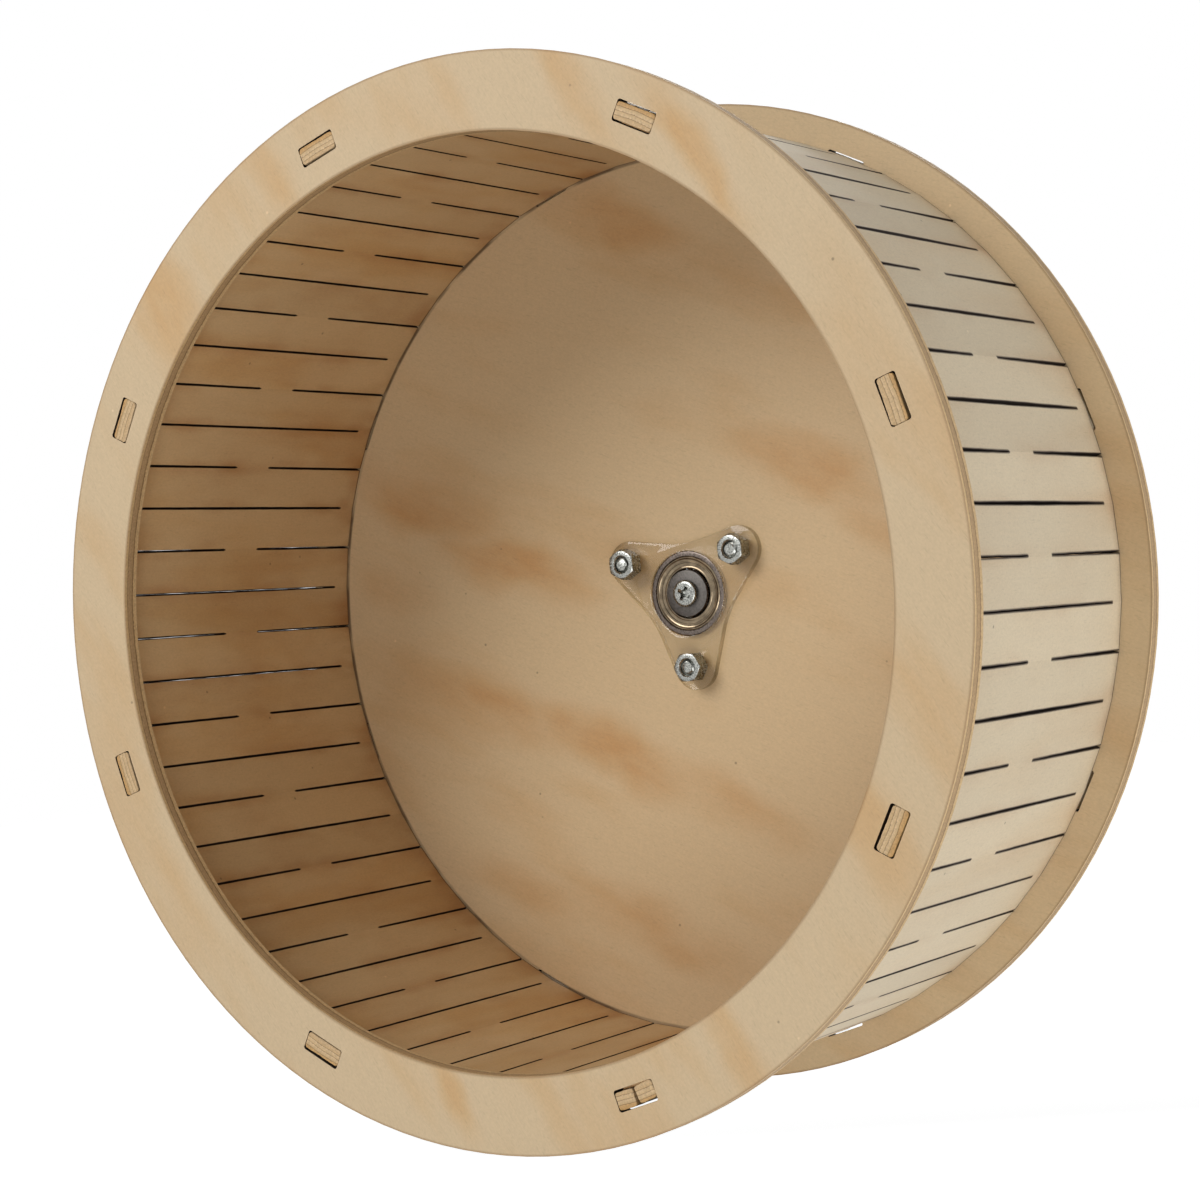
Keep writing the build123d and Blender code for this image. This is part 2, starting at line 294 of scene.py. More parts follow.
def plywood(name, look):
    material = bpy.data.materials.new(name)
    add = emptyTree(material)
    bent = look["bent"]
    turned = add("Mapping", {
        "Vector": add("TexCoord").outputs["Object"], "Scale": (1000, 1000, 1000),
        "Rotation": (0, math.radians(look["cutTurn" if bent else "grainTurn"]), 0)})
    x, y, z = add("SeparateXYZ", (turned,)).outputs
    flat = add("CombineXYZ", (x, z))
    radius = add("VectorMath", (flat,), operation="LENGTH")
    if bent:
        # Unrolls the drum: across the track, along the bend, and depth from the inner face outwards
        step = math.tau / look["rows"]
        middle = (look["innerRadius"] + look["outerRadius"]) / 2
        angle = add("Math", (z, x), operation="ARCTAN2")
        row = add("Math", (angle, step), operation="DIVIDE")
        within = add("Math", (row,), operation="FRACT")
        fromMiddle = fold(add, "MULTIPLY", add("Math", (within, 0.5), operation="SUBTRACT"), step)
        depth = fold(add, "MULTIPLY", radius, add("Math", (fromMiddle,), operation="COSINE"))
        grain = add("CombineXYZ", (y, fold(add, "MULTIPLY", angle, middle), depth))
        flatten = math.cos(step / 2)
        ends = (look["innerRadius"] * flatten, look["outerRadius"] * flatten)
        layer = add("MapRange", (depth, *ends), clamp=False)
        toRow = fold(add, "MULTIPLY", add("Math", (row, 0.5), operation="PINGPONG"), step * middle)
        half = (look["rear"] - look["front"]) / 2
        fromEdge = add("Math", (y, (look["rear"] + look["front"]) / 2), operation="SUBTRACT")
        fromEdge = add("Math", (fromEdge,), operation="ABSOLUTE")
    else:
        grain = add("CombineXYZ", (x, z, y))
        layer = add("MapRange", (y, look["front"], look["front"] + look["sheet"]), clamp=False)

    noise = {}
    for pattern, (length, width, detail) in plyPatterns.items():
        scaled = add("Mapping", {"Vector": grain, "Scale": (1 / length, 1 / width, 1 / width)})
        noise[pattern] = add("TexNoise", {
            "Vector": scaled, "Scale": 1.0, "Detail": detail, "Roughness": 0.55}).outputs[0]

    # Veneer colour, the inner face's on one side and the outer face's on the other; on the bent strip the
    # inner face's darker, warmer colour is painted shade of the drum's inside and the outer face's paler,
    # greyer one is painted light
    outer = add("Math", (layer, 0.5), operation="GREATER_THAN")
    colour = add("Mix", (outer, *look["pale"]), data_type="RGBA")
    clouds = add("MapRange", (noise["cloud"], 0.46, 0.72, 0, 0.75), **smooth)
    calmer = add("MapRange", (outer, 0, 1, 1.0, look["outerCloud"]))
    tints = [(fold(add, "MULTIPLY", clouds, calmer), look["tan"])]

    # Stains at listed places, each long with the grain and broken up by the finer clouds
    if look["stains"]:
        waves = add("TexNoise", {"Vector": grain, "Scale": 1 / 24, "Detail": 3.0}).outputs["Color"]
        warp = add("VectorMath", (waves, (0.5, 0.5, 0.5)), operation="SUBTRACT")
        warped = add("VectorMath", (warp, (12, 12, 0), flat), operation="MULTIPLY_ADD")
        turn = math.radians(look["grainTurn"])
        spots = []
        for across, up, length, width, strength in look["stains"]:
            alongGrain = across * math.cos(turn) + up * math.sin(turn)
            acrossGrain = up * math.cos(turn) - across * math.sin(turn)
            spot = add("Mapping", {
                "Vector": warped, "Location": (alongGrain, acrossGrain, 0),
                "Scale": (length, width, 1)}, vector_type="TEXTURE")
            away = add("VectorMath", (spot,), operation="LENGTH")
            spots.append(add("MapRange", (away, 1.25, 0.1, 0, strength), **smooth))
        broken = add("MapRange", (noise["shade"], 0.25, 0.65, 0.35))
        onBack = add("MapRange", (outer, 0, 1, 1.0, 0.55))
        spots = fold(add, "MAXIMUM", *spots)
        tints.append((fold(add, "MULTIPLY", spots, broken, onBack), look["stain"]))
    if bent:
        # Smoke of the laser beside the slots and along the strip's edges, heavier inside the bend
        near = add("MapRange", (toRow, 3.4, 0.2, 0.25, 0.75), **smooth)
        patchy = add("MapRange", (noise["shade"], 0.44, 0.74, 0.03, 0.75))
        weight = add("MapRange", (outer, 0, 1, 1.0, 0.38))
        browned = add("MapRange", (fromEdge, half - 11, half + 1, 0, 0.9), **smooth)
        for reach in (near, browned):
            tints.append((fold(add, "MULTIPLY", reach, patchy, weight), look["stain"]))
    for factor, code in tints:
        colour = add("Mix", (factor, colour, code), data_type="RGBA")

    # Fibre, pores, grit and specks, and on the bent strip a painted shade for each slat, standing in for the
    # flats between the slots catching the light differently
    shades = [
        (noise["fibre"], 0.3, 0.7, 0.975, 1.015), (noise["pore"], 0.62, 0.74, 1.0, 0.90),
        (noise["grit"], 0.3, 0.7, 0.95, 1.04)]
    for spacing, *ends in plySpecks:
        specks = add("TexVoronoi", {"Vector": grain, "Scale": 1 / spacing})
        shades.append((specks.outputs["Distance"], *ends))
    if bent:
        # each slat gets a random painted shade, as if its flat were lit a little differently
        slat = add("Math", (row,), operation="FLOOR")
        slatPaintedShade = add("TexWhiteNoise", {"W": slat}, noise_dimensions="1D").outputs["Value"]
        shades.append((slatPaintedShade, 0, 1, 0.94, 1.04))
    shade = fold(add, "MULTIPLY", *(add("MapRange", ends) for ends in shades))
    veneer = add("VectorMath", (colour, shade), operation="SCALE")

    # Wavy glued layers at a cut edge, scorched walls in slots, mortises and holes
    wavy = fold(
        add, "ADD", layer, add("MapRange", (noise["shade"], 0, 1, -0.06, 0.06)),
        add("MapRange", (noise["grit"], 0, 1, -0.05, 0.05)))
    edge = add("ValToRGB", (wavy,), stops=look["layers"]).outputs["Color"]
    rough = add("MapRange", (noise["grit"], 0.3, 0.7, 0.78, 1.1))
    edge = add("VectorMath", (edge, rough), operation="SCALE")
    if bent:
        # Band at the lips of each slot, laser scorch darkened further as painted shade of the slot's gap, and
        # a scorched band at the strip's edges
        lipScorchAndShade = add("Attribute", attribute_name="lipScorchAndShade").outputs["Fac"]
        lipScorchAndShadeBand = add("MapRange", (lipScorchAndShade, 0.40, 0.90, 0, 0.95), **smooth)
        edgeBand = add("MapRange", (fromEdge, half - 0.7, half - 0.1, 0, 0.7), **smooth)
        lines = [(fold(add, "MAXIMUM", lipScorchAndShadeBand, edgeBand), plyMarks["lip"])]
        showsLayers = add("Math", (fromEdge, half + 0.05), operation="GREATER_THAN")
    else:
        # Browned line where the laser left the face, and a dark one where the strip meets the disc
        def fromCircle(size):
            away = add("Math", (radius, size), operation="SUBTRACT")
            return add("Math", (away,), operation="ABSOLUTE")
        nearest = fold(add, "MINIMUM", *(fromCircle(rim) for rim in look["rims"]))
        showsLayers = add("Math", (nearest, 0.25), operation="LESS_THAN")
        rimLine = add("MapRange", (nearest, 0.7, 0.1, 0, 0.55), **smooth)
        lines = [(rimLine, plyMarks["rimLine"])]
        if "joint" in look:
            smut = add("MapRange", (fromCircle(look["joint"]), 0.75, 0.15), **smooth)
            uneven = add("MapRange", (noise["shade"], 0.35, 0.6, 0.15, 0.85))
            inside = add("Math", (1.0, outer), operation="SUBTRACT")
            lines.append((fold(add, "MULTIPLY", smut, uneven, inside), plyMarks["jointLine"]))
    for factor, code in lines:
        veneer = add("Mix", (factor, veneer, code), data_type="RGBA")
    cut = add("Mix", (showsLayers, plyMarks["wall"], edge), data_type="RGBA")
    offMiddle = add("Math", (layer, 0.5), operation="SUBTRACT")
    offMiddle = add("Math", (offMiddle,), operation="ABSOLUTE")
    onFace = add("Math", (offMiddle, 0.488), operation="GREATER_THAN")
    if bent:
        inStrip = add("Math", (fromEdge, half + 0.05), operation="LESS_THAN")
        onFace = fold(add, "MULTIPLY", onFace, inStrip)
    finish = add("Mix", (onFace, cut, veneer), data_type="RGBA")

    height = fold(add, "ADD", noise["fibre"], noise["grit"])
    shader = add("BsdfPrincipled", {
        "Base Color": finish, "Roughness": add("MapRange", (noise["fibre"], 0, 1, 0.52, 0.72)),
        "Normal": add("Bump", {"Height": height, "Strength": 0.2, "Distance": 0.00004}),
        "Specular IOR Level": 0.35})
    add("OutputMaterial", {"Surface": shader})
    return material


ringMaterial = plywood("laserCutBirchPlyRing", ringPly)
discMaterial = plywood("laserCutBirchPlyDisc", discPly)
trackMaterial = plywood("laserCutBirchPlyBent", trackPly)
print("plywood mixed")


# Metals and plastics of the hub
metalLooks = {
    "brightZincPlate": {  # thin blue-white plating, crystalline speckle and soft highlights
        "colours": ("6c6e6b", "b9bab4"), "roughness": (0.16, 0.36), "speck": 0.35, "bump": 0.00002},
    "groundBearingSteelPaintedShade": {  # ground faces; their dark brownish colour is painted shade and a painted reflection of the wood
        "colours": ("5d544e", "776d66"), "roughness": (0.20, 0.34), "speck": 0.5, "bump": 0.000004},
    "pressedShieldSteelPaintedReflection": {  # thin pressed sheet; its bronze colour is a painted reflection of the wood around it
        "colours": ("6b5e4d", "8e7f69"), "roughness": (0.12, 0.26), "speck": 2.0, "bump": 0.000004},
    "blackenedWasherSteel": {  # dull grey oxide with worn specks
        "colours": ("4f4c49", "6b6763"), "roughness": (0.42, 0.60), "speck": 0.5, "bump": 0.00001},
    "polishedBallSteel": {  # mirror polish
        "colours": ("c8ccd0", "d8dcdf"), "roughness": (0.04, 0.08), "speck": 3.0, "bump": 0.0},
    "turnedSleeveSteel": {  # fine turning marks
        "colours": ("8b8f92", "b5babd"), "roughness": (0.25, 0.40), "speck": 0.8, "bump": 0.000006},
}
plasticLooks = {
    "mouldedNaturalNylon": {  # waxy off-white, faintly mottled
        "colours": ("d9d5c8", "e6e3d8"), "roughness": (0.38, 0.52), "speck": 2.5, "bump": 0.000006},
    "mouldedCageNylon": {  # darker glass-filled grade
        "colours": ("a89f8a", "b9b09b"), "roughness": (0.42, 0.58), "speck": 1.5, "bump": 0.000006},
}


def speckled(name, look, metallic):
    material = bpy.data.materials.new(name)
    add = emptyTree(material)
    noise = add("TexNoise", {
        "Vector": add("TexCoord").outputs["Object"], "Scale": 1000 / look["speck"],
        "Detail": 4.0, "Roughness": 0.6}).outputs[0]
    mottle = add("MapRange", (noise, 0.35, 0.65))
    values = {
        "Base Color": add("Mix", (mottle, *look["colours"]), data_type="RGBA"), "Metallic": metallic,
        "Roughness": add("MapRange", (noise, 0.3, 0.7, *look["roughness"]))}
    if look["bump"]:
        values["Normal"] = add("Bump", {"Height": noise, "Strength": 0.5, "Distance": look["bump"]})
    add("OutputMaterial", {"Surface": add("BsdfPrincipled", values)})
    return material


metals = {name: speckled(name, look, 1.0) for name, look in metalLooks.items()}
plastics = {name: speckled(name, look, 0.0) for name, look in plasticLooks.items()}


def clearSheet():
    # Cast acrylic: colourless, glossy, faint smears and a little waviness at the faces
    material = bpy.data.materials.new("castClearAcrylic")
    add = emptyTree(material)
    smear = add("TexNoise", {
        "Vector": add("TexCoord").outputs["Object"], "Scale": 1000 / 6, "Detail": 5.0}).outputs[0]
    shader = add("BsdfPrincipled", {
        "Base Color": "f4f1ea", "Roughness": add("MapRange", (smear, 0.4, 0.75, 0.02, 0.08)), "IOR": 1.49,
        "Transmission Weight": 1.0,
        "Normal": add("Bump", {"Height": smear, "Strength": 0.1, "Distance": 0.00001})})
    # Light for the wood behind goes straight through, and so does a part of every other ray
    path = add("LightPath").outputs
    deep = add("Math", (path["Ray Depth"], 1.5), operation="GREATER_THAN")
    passing = fold(add, "MAXIMUM", path["Is Shadow Ray"], path["Is Diffuse Ray"], deep, 0.38)
    clear = add("BsdfTransparent", ("f6f4ee",))
    add("OutputMaterial", {"Surface": add("MixShader", (passing, shader, clear))})
    return material


acrylicMaterial = clearSheet()
print("metals, plastics and clear sheet mixed")


def plainMesh(name, carrier):
    # What an object becomes with its modifiers or its curve's bevel applied; the object goes
    depsgraph = bpy.context.evaluated_depsgraph_get()
    mesh = bpy.data.meshes.new_from_object(carrier.evaluated_get(depsgraph))
    mesh.name = name
    carrier.modifiers.clear()
    bpy.data.objects.remove(carrier)
    return mesh


def finishPiece(name, mesh, material, body, nodeNames):
    mesh.materials.clear()
    mesh.materials.append(material)
    for polygon in mesh.polygons:
        polygon.material_index = 0
    piece = newPiece(name, mesh)
    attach(piece, body)
    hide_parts(*nodeNames)


def closeUp(mesh, smoothBelow=32):
    # Merges doubles, turns the faces outwards and keeps edges sharper than the angle
    work = bmesh.new()
    work.from_mesh(mesh)
    bmesh.ops.remove_doubles(work, verts=work.verts, dist=0.0005 * mm)
    bmesh.ops.dissolve_degenerate(work, edges=work.edges, dist=0.0002 * mm)
    bmesh.ops.recalc_face_normals(work, faces=work.faces)
    work.to_mesh(mesh)
    work.free()
    mesh.shade_smooth()
    mesh.set_sharp_from_angle(angle=math.radians(smoothBelow))


def onCircle(radius, degrees, y=0.0):
    angle = math.radians(degrees)
    return radius * math.cos(angle), y, radius * math.sin(angle)


def skinRings(name, rings, wrapped=False, smoothBelow=32):
    # Skins rings of points in millimetres: the last joins the first, or else both ends are capped
    count = len(rings[0])
    verts = [tuple(value * mm for value in point) for ring in rings for point in ring]
    faces = []
    for k in range(len(rings) if wrapped else len(rings) - 1):
        here, there = k * count, (k + 1) % len(rings) * count
        for i in range(count):
            j = (i + 1) % count
            faces.append((here + i, here + j, there + j, there + i))
    if not wrapped:
        faces += [tuple(range(count)), tuple(range(len(verts) - count, len(verts)))]
    mesh = bpy.data.meshes.new(name)
    mesh.from_pydata(verts, [], faces)
    closeUp(mesh, smoothBelow)
    return mesh


def lathe(name, profile, segments=72):
    # Turns a closed profile of (radius, y) about the axle; a radius may be a rule of the angle
    angles = [360 * i / segments for i in range(segments)]
    return skinRings(name, [
        [onCircle(radius(angle) if callable(radius) else radius, angle, y) for angle in angles]
        for radius, y in profile], True)


def geometryTree(name, inputs):
    tree = bpy.data.node_groups.new(name, "GeometryNodeTree")
    tree.interface.new_socket("Geometry", in_out="INPUT", socket_type="NodeSocketGeometry")
    tree.interface.new_socket("Geometry", in_out="OUTPUT", socket_type="NodeSocketGeometry")
    for label, kind in inputs.items():
        tree.interface.new_socket(label, in_out="INPUT", socket_type="NodeSocket" + kind)
    add = nodeAdder(tree)
    return tree, add, add("NodeGroupInput").outputs


def runTree(name, mesh, tree, values):
    # Runs a tree on a carrier object and keeps the result as a plain mesh
    carrier = newPiece(name, mesh)
    maker = carrier.modifiers.new("maker", "NODES")
    maker.node_group = tree
    for item in tree.interface.items_tree:
        if item.in_out == "INPUT" and item.name in values:
            maker[item.identifier] = values[item.name]
    return plainMesh(name, carrier)


# Running track: a plywood strip bent along rows of laser-cut slots, each row one long slot or two short ones
trackShape = {
    "innerRadius": 113.5,
    "outerRadius": 117.5,
    "middleRadius": 115.5,
    "front": -105.7,
    "rear": -13.7,
    "rowStep": 5.625,
    "firstRow": 16.2,
    "sectors": 32,  # a sector holds one long slot and half of the short ones at each side
    "seamSector": 24,
    "longMargin": 5.5,
    "bridge": (-65.5, -52.9),
    "slotHalf": 0.22,
    "outerHalf": 0.13,
    "lipReach": 0.30,  # how far the lips spring open outside, times the opening of the row
    "seamHalf": 0.28,
    "tip": 0.7,
    "ragged": 0.04,  # how rough the laser left the walls
    "burr": (-0.16, 0.08),  # half gap left by char half way through a slot, closed where it is negative
    "inset": (0.5, 1.0),  # how far from the slot its band of scorch and painted shade ends, inside and outside
    "stationGap": 3.2,
    "openings": (0.15, 1.5),
    "seed": 11,
}


def sectorMesh(name, shape, seam):
    front, rear, tip = shape["front"], shape["rear"], shape["tip"]
    longSlot = (front + shape["longMargin"], rear - shape["longMargin"])
    low, high = shape["bridge"]
    marks = {front, rear, low, high, low - tip, high + tip, low + tip / 2, high - tip / 2}
    marks |= {longSlot[0], longSlot[1], longSlot[0] + tip, longSlot[1] - tip}
    marks |= {longSlot[0] - tip / 2, longSlot[1] + tip / 2}
    steps = round((rear - front) / shape["stationGap"])
    for i in range(steps + 1):
        y = front + (rear - front) * i / steps
        if min(abs(y - mark) for mark in marks) > 0.7:
            marks.add(y)
    stations = sorted(marks)

    def longOpening(y):
        # Half width at the inner face, and how much of the lip's spring the outer one gets
        if seam:
            return shape["seamHalf"], 0.0
        if not longSlot[0] < y < longSlot[1]:
            return 0.0, 0.0
        t = (y - longSlot[0]) / (longSlot[1] - longSlot[0])
        return shape["slotHalf"], math.sin(math.pi * t) ** 0.8

    def shortOpening(y):
        if low <= y <= high:
            return 0.0, 0.0
        t = (low - y) / (low - front) if y < low else (y - high) / (rear - high)
        return shape["slotHalf"], t ** 0.75

    tips = {low, high, longSlot[0], longSlot[1]}
    chance = random.Random(shape["seed"])
    insetInner, insetOuter = shape["inset"]
    mesh = bpy.data.meshes.new(name)
    work = bmesh.new()
    lip = work.verts.layers.float.new("lip")
    # marks the slot lips, where the scorch and the painted shade of the gap go
    lipScorchAndShade = work.verts.layers.float.new("lipScorchAndShade")
    for side in (-1, 1):
        def corner(radius, row):
            return Vector(onCircle(radius, row * shape["rowStep"]))

        def addPair(inner, outer, y):
            inner.y = outer.y = y
            return work.verts.new(inner * mm), work.verts.new(outer * mm)

        def addBurr(row, direction, y, half, wide):
            # Vertex half way through the wall of a slot
            point = corner(shape["middleRadius"], row)
            if half:
                point += direction * (wide if wide else max(0.006, chance.uniform(*shape["burr"])))
            point.y = y
            return work.verts.new(point * mm)

        towards = (corner(1, side) - corner(1, 0)).normalized()
        lips, insets = [], []
        for row, rule, direction in ((0, longOpening, towards), (side, shortOpening, -towards)):
            column, inside = [], []
            sign = side if row == 0 else -side
            for y in stations:
                half, spring = rule(y)
                seamLip = seam and row == 0
                outerHalf = shape["seamHalf"] if seamLip else (shape["outerHalf"] if half else 0)
                if half:
                    half += chance.uniform(-0.6, 1) * shape["ragged"]
                    outerHalf += chance.uniform(-1, 1) * shape["ragged"]
                innerVert, outerVert = addPair(
                    corner(shape["innerRadius"], row) + direction * half,
                    corner(shape["outerRadius"], row) + direction * outerHalf, y)
                outerVert[lip] = sign * spring
                innerVert[lip] = sign * spring * 0.2
                innerVert[lipScorchAndShade] = outerVert[lipScorchAndShade] = 1.0 if half or y in tips else 0.0
                burr = addBurr(row, direction, y, half, shape["seamHalf"] if seamLip else 0)
                column.append((innerVert, outerVert, half > 0, burr))
                inside.append(addPair(
                    corner(shape["innerRadius"], row) + direction * insetInner,
                    corner(shape["outerRadius"], row) + direction * insetOuter, y))
            lips.append(column)
            insets.append(inside)
        columns = [lips[0], insets[0], insets[1], lips[1]]
        for k in range(len(stations) - 1):
            for near, far in zip(columns, columns[1:]):
                work.faces.new((near[k][0], near[k + 1][0], far[k + 1][0], far[k][0]))
                work.faces.new((near[k][1], far[k][1], far[k + 1][1], near[k + 1][1]))
            for column in lips:
                if column[k][2] or column[k + 1][2]:
                    for a, b in ((0, 3), (3, 1)):
                        work.faces.new((column[k][a], column[k][b], column[k + 1][b], column[k + 1][a]))
        for k in (0, len(stations) - 1):
            for near, far in zip(columns, columns[1:]):
                rim = [near[k][0], far[k][0]]
                if far is lips[1] and far[k][2]:
                    rim.append(far[k][3])
                rim += [far[k][1], near[k][1]]
                if near is lips[0] and near[k][2]:
                    rim.append(near[k][3])
                work.faces.new(rim)
    work.to_mesh(mesh)
    work.free()
    return mesh


def slottedTrackTree():
    tree, add, put = geometryTree("slottedTrack", {
        "Sector": "Object", "Seam Sector": "Object", "Sectors": "Int", "Seam Index": "Int",
        "First Angle": "Float", "Opening Least": "Float", "Opening Most": "Float",
        "Lip Reach": "Float", "Seed": "Int", "Material": "Material"})
    points = add("GeometryNodePoints", {"Count": put["Sectors"]})
    index = add("GeometryNodeInputIndex")
    step = add("Math", (math.tau, put["Sectors"]), operation="DIVIDE")
    angle = add("Math", (index, step, put["First Angle"]), operation="MULTIPLY_ADD")
    turn = add("CombineXYZ", (0, fold(add, "MULTIPLY", angle, -1.0), 0))
    plain, seam = (
        add("GeometryNodeObjectInfo", {"Object": put[label], "As Instance": True}).outputs["Geometry"]
        for label in ("Sector", "Seam Sector"))
    either = add("GeometryNodeJoinGeometry")
    tree.links.new(seam, either.inputs[0])
    tree.links.new(plain, either.inputs[0])
    isSeam = add("FunctionNodeCompare", {
        "A": index, "B": put["Seam Index"]}, data_type="INT", operation="EQUAL")
    copies = add("GeometryNodeInstanceOnPoints", {
        "Points": points, "Instance": either, "Pick Instance": True,
        "Instance Index": isSeam, "Rotation": turn})
    openness = add("FunctionNodeRandomValue", {
        "Min": put["Opening Least"], "Max": put["Opening Most"], "ID": index, "Seed": put["Seed"]},
        data_type="FLOAT")
    tagged = add("GeometryNodeStoreNamedAttribute", {
        "Geometry": copies, "Name": "opening", "Value": openness}, data_type="FLOAT", domain="INSTANCE")
    solid = add("GeometryNodeRealizeInstances", {"Geometry": tagged})
    # The lips of every slot spring apart along the bend
    x, y, z = add("SeparateXYZ", (add("GeometryNodeInputPosition"),)).outputs
    tangent = add("CombineXYZ", (fold(add, "MULTIPLY", z, -1.0), 0, x))
    tangent = add("VectorMath", (tangent,), operation="NORMALIZE")
    lip, opening = (
        add("GeometryNodeInputNamedAttribute", {"Name": label}, data_type="FLOAT")
        for label in ("lip", "opening"))
    amount = fold(add, "MULTIPLY", lip, opening, put["Lip Reach"])
    offset = add("VectorMath", (tangent, amount), operation="SCALE")
    sprung = add("GeometryNodeSetPosition", {"Geometry": solid, "Offset": offset})
    merged = add("GeometryNodeMergeByDistance", {"Geometry": sprung, "Distance": 0.002 * mm})
    dressed = add("GeometryNodeSetMaterial", {"Geometry": merged, "Material": put["Material"]})
    add("NodeGroupOutput", {"Geometry": dressed})
    return tree


def copiesTree():
    # Copies of a part on the carrier's points, each turned by the attribute "turn"
    tree, add, put = geometryTree("copiesOnPoints", {"Part": "Object", "Material": "Material"})
    part = add("GeometryNodeObjectInfo", {"Object": put["Part"], "As Instance": True})
    turn = add("GeometryNodeInputNamedAttribute", {"Name": "turn"}, data_type="FLOAT_VECTOR")
    copies = add("GeometryNodeInstanceOnPoints", {
        "Points": put["Geometry"], "Instance": part.outputs["Geometry"], "Rotation": turn})
    solid = add("GeometryNodeRealizeInstances", {"Geometry": copies})
    dressed = add("GeometryNodeSetMaterial", {"Geometry": solid, "Material": put["Material"]})
    add("NodeGroupOutput", {"Geometry": dressed})
    return tree


copyTree = copiesTree()


def spread(name, part, places, material):
    # places: (position in mm, turn about the axle in degrees)
    mesh = bpy.data.meshes.new(name)
    mesh.from_pydata([Vector(place) * mm for place, turn in places], [], [])
    turns = mesh.attributes.new("turn", "FLOAT_VECTOR", "POINT")
    for k, (place, turn) in enumerate(places):
        turns.data[k].vector = (0, -math.radians(turn), 0)
    source = newPiece(name + "Part", part)
    result = runTree(name, mesh, copyTree, {"Part": source, "Material": material})
    bpy.data.objects.remove(source)
    return result


# Tenons of the track, one at each mortise; each sits a little differently in its mortise
tenonShape = {
    "width": 10.5,
    "thick": 4.05,
    "corner": 0.75,
    "reach": 4.4,
    "wobble": 0.07,
    "middleRadius": 115.36,
    "turns": [16.2, 61.2, 106.2, 151.2, 196.2, 241.2, 331.2],
    "shifts": [-0.16, 0.02, 0.10, -0.12, 0.12, -0.14, 0.16],
    "tilts": [-1.4, 0.6, -0.8, 0.9, -0.6, 0.7, -0.5],
    "seamTurn": 286.2,
    "seamHalves": [(-2.80, 0.10, -1.0), (2.80, -0.22, 6.0)],  # along the bend, outwards, tilt
    "seamWidth": 4.9,
    "mortise": 4.0,
    "proud": 0.02,
}


def tenonMesh(name, shape, width, seed):
    # Rounded block, x outwards and z along the bend, its free end at y = 0 and a rough outline
    chance = random.Random(seed)
    halfX, halfZ, corner = shape["thick"] / 2, width / 2, shape["corner"]
    outline = []
    for cx, cz, start in ((1, 1, 0), (-1, 1, 90), (-1, -1, 180), (1, -1, 270)):
        for k in range(5):
            angle = math.radians(start + 22.5 * k)
            outline.append(Vector((
                cx * (halfX - corner) + corner * math.cos(angle), 0,
                cz * (halfZ - corner) + corner * math.sin(angle))))
    dense = []
    for k, point in enumerate(outline):
        following = outline[(k + 1) % len(outline)]
        pieces = max(1, round((following - point).length / 0.7))
        for i in range(pieces):
            dense.append(point.lerp(following, i / pieces))
    wobbles = [chance.uniform(-1, 1) * shape["wobble"] for point in dense]
    rings = []
    for y, inset in ((0.0, 0.14), (0.14, 0.0), (1.3, 0.02), (shape["reach"], 0.0)):
        shrinks = [1 - (inset - wobble) / point.length for point, wobble in zip(dense, wobbles)]
        rings.append([(point.x * shrink, y, point.z * shrink) for point, shrink in zip(dense, shrinks)])
    return skinRings(name, rings, smoothBelow=25)


def joinMeshes(name, meshes):
    work = bmesh.new()
    for mesh in meshes:
        work.from_mesh(mesh)
    joined = bpy.data.meshes.new(name)
    bmesh.ops.recalc_face_normals(work, faces=work.faces)
    work.to_mesh(joined)
    work.free()
    return joined


def makeTrack(shape, tenons):
    plain = newPiece("trackSector", sectorMesh("trackSector", shape, False))
    seam = newPiece("trackSeamSector", sectorMesh("trackSeamSector", shape, True))
    least, most = shape["openings"]
    strip = runTree("bentStrip", bpy.data.meshes.new("bentStrip"), slottedTrackTree(), {
        "Sector": plain, "Seam Sector": seam, "Sectors": shape["sectors"],
        "Seam Index": shape["seamSector"], "First Angle": math.radians(shape["firstRow"]),
        "Opening Least": least, "Opening Most": most, "Lip Reach": shape["lipReach"] * mm,
        "Seed": shape["seed"], "Material": trackMaterial})
    bpy.data.objects.remove(plain)
    bpy.data.objects.remove(seam)

    ends = []
    past = tenons["mortise"] + tenons["proud"]
    for y, flip in ((shape["front"] - past, 1), (shape["rear"] + past, -1)):
        whole, halves = [], []
        for turn, shift, tilt in zip(tenons["turns"], tenons["shifts"], tenons["tilts"]):
            place = onCircle(tenons["middleRadius"] + shift * flip, turn, y)
            whole.append((place, turn + tilt * flip))
        seamTurn = tenons["seamTurn"]
        for along, shift, tilt in tenons["seamHalves"]:
            place = Vector(onCircle(tenons["middleRadius"] + shift, seamTurn, y))
            halves.append((place + Vector(onCircle(along, seamTurn + 90)), seamTurn + tilt))
        for label, places, width in (
            ("tenons", whole, tenons["width"]),
            ("seamTenons", halves, tenons["seamWidth"]),
        ):
            part = tenonMesh(label, tenons, width, 3 + len(places))
            if flip < 0:
                part.transform(Matrix.Scale(-1, 4, (0, 1, 0)))
                closeUp(part, 25)
            ends.append(spread(label, part, places, trackMaterial))

    track = joinMeshes("runningTrack", [strip] + ends)
    finishPiece("runningTrack", track, trackMaterial, "wheel", ("running_track",))


makeTrack(trackShape, tenonShape)
print("running track bent")


# Clear hub plates, three lobes with slightly hollow sides
plateShape = {
    "turn": 31.2,
    "boltRadius": 19.0,
    "lobeRadius": 6.0,
    "waistRadius": 12.5,
    "waistFillet": 25.0,
    "bore": 11.03,
    "hole": 2.15,
    "bevel": 0.14,
    "places": [
        ("clearPlateFront", "front_bearing_plate", -15.7, -13.74),
        ("clearPlateRear", "rear_bearing_plate", -9.66, -7.7),
    ],
}


def planeVector(radius, angle):
    return Vector((radius * math.cos(angle), radius * math.sin(angle)))


def arcPoints(centre, radius, start, end, count):
    return [centre + planeVector(radius, start + (end - start) * k / count) for k in range(count + 1)]


